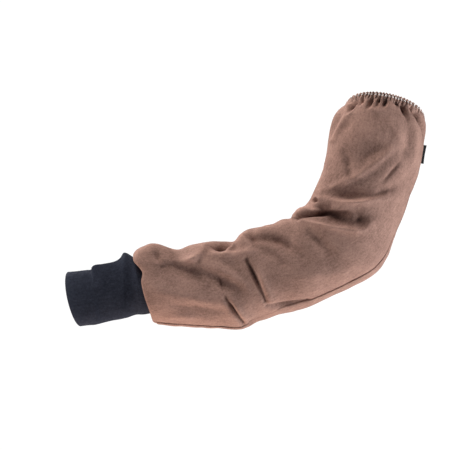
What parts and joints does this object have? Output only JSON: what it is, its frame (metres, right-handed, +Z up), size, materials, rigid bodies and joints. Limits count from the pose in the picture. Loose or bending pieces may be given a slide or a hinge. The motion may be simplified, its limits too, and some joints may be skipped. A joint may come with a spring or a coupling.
{
  "type": "protective arm sleeve",
  "caption": "Woven cotton arm sleeve in its worn, bent form, with a gathered elastic top hem, a long felled seam and a knitted cuff with a thumb hole.",
  "frame": {"origin": "middle of the top opening, at the lower edge of the elastic hem, where the upper arm goes in", "axes": "+X from the hand towards the upper arm, +Z up along the upper arm, and -Y towards the outer, near side of the arm; the arm bends in the plane y = 0"},
  "size_m": [0.4825, 0.1253, 0.316],
  "materials": {
    "woven_cotton": "matte reddish brown twill",
    "seam_cotton": "matte reddish brown twill, pressed flat",
    "hem_cotton": "matte reddish brown twill, gathered",
    "black_knit": "matte near-black fine rib knit",
    "black_tape": "matte black woven tape"
  },
  "bodies": {
    "root": {"sleeve_body": "woven_cotton", "under_seam": "seam_cotton", "hem_band": "hem_cotton", "knit_cuff": "black_knit", "side_tab": "black_tape"}
  },
  "joints": []
}
